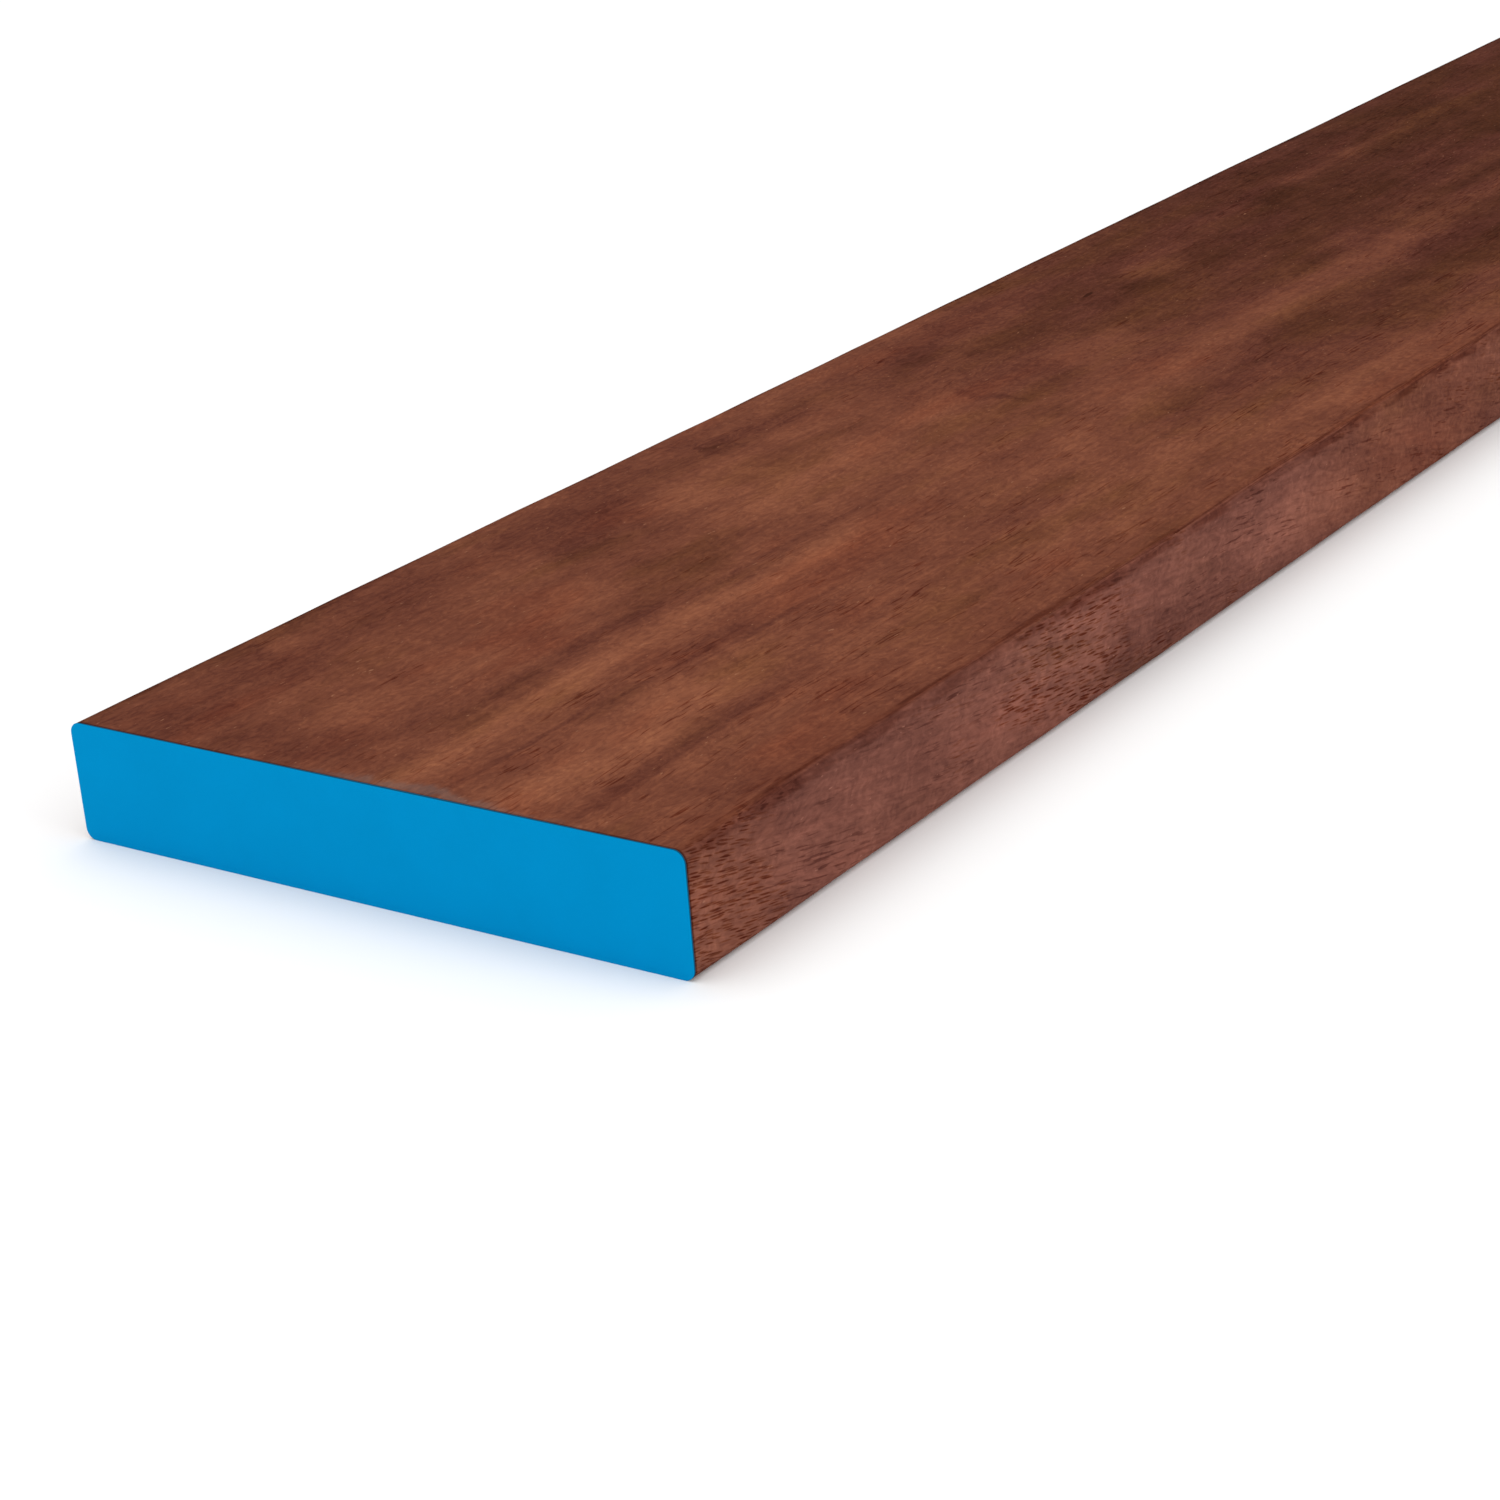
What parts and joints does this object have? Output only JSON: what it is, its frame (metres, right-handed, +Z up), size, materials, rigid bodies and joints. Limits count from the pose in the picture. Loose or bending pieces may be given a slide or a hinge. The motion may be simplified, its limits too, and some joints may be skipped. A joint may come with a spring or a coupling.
{
  "type": "hardwood plank",
  "caption": "Long solid hardwood plank, planed all round with softly rounded long edges, its sawn ends sealed with flat blue paint.",
  "frame": {"origin": "middle of the underside, halfway along and halfway across the plank", "axes": "+X along the length and the grain, from the front end to the rear end; +Y across the width, to the left edge seen from the front end; +Z up through the thickness"},
  "size_m": [2.4008, 0.19, 0.032],
  "materials": {
    "timber": "planed, unfinished red-brown hardwood",
    "end_paint": "flat bright-blue end-grain paint"
  },
  "bodies": {
    "root": {"timber_plank": "timber", "front_end_seal": "end_paint", "rear_end_seal": "end_paint"}
  },
  "joints": []
}
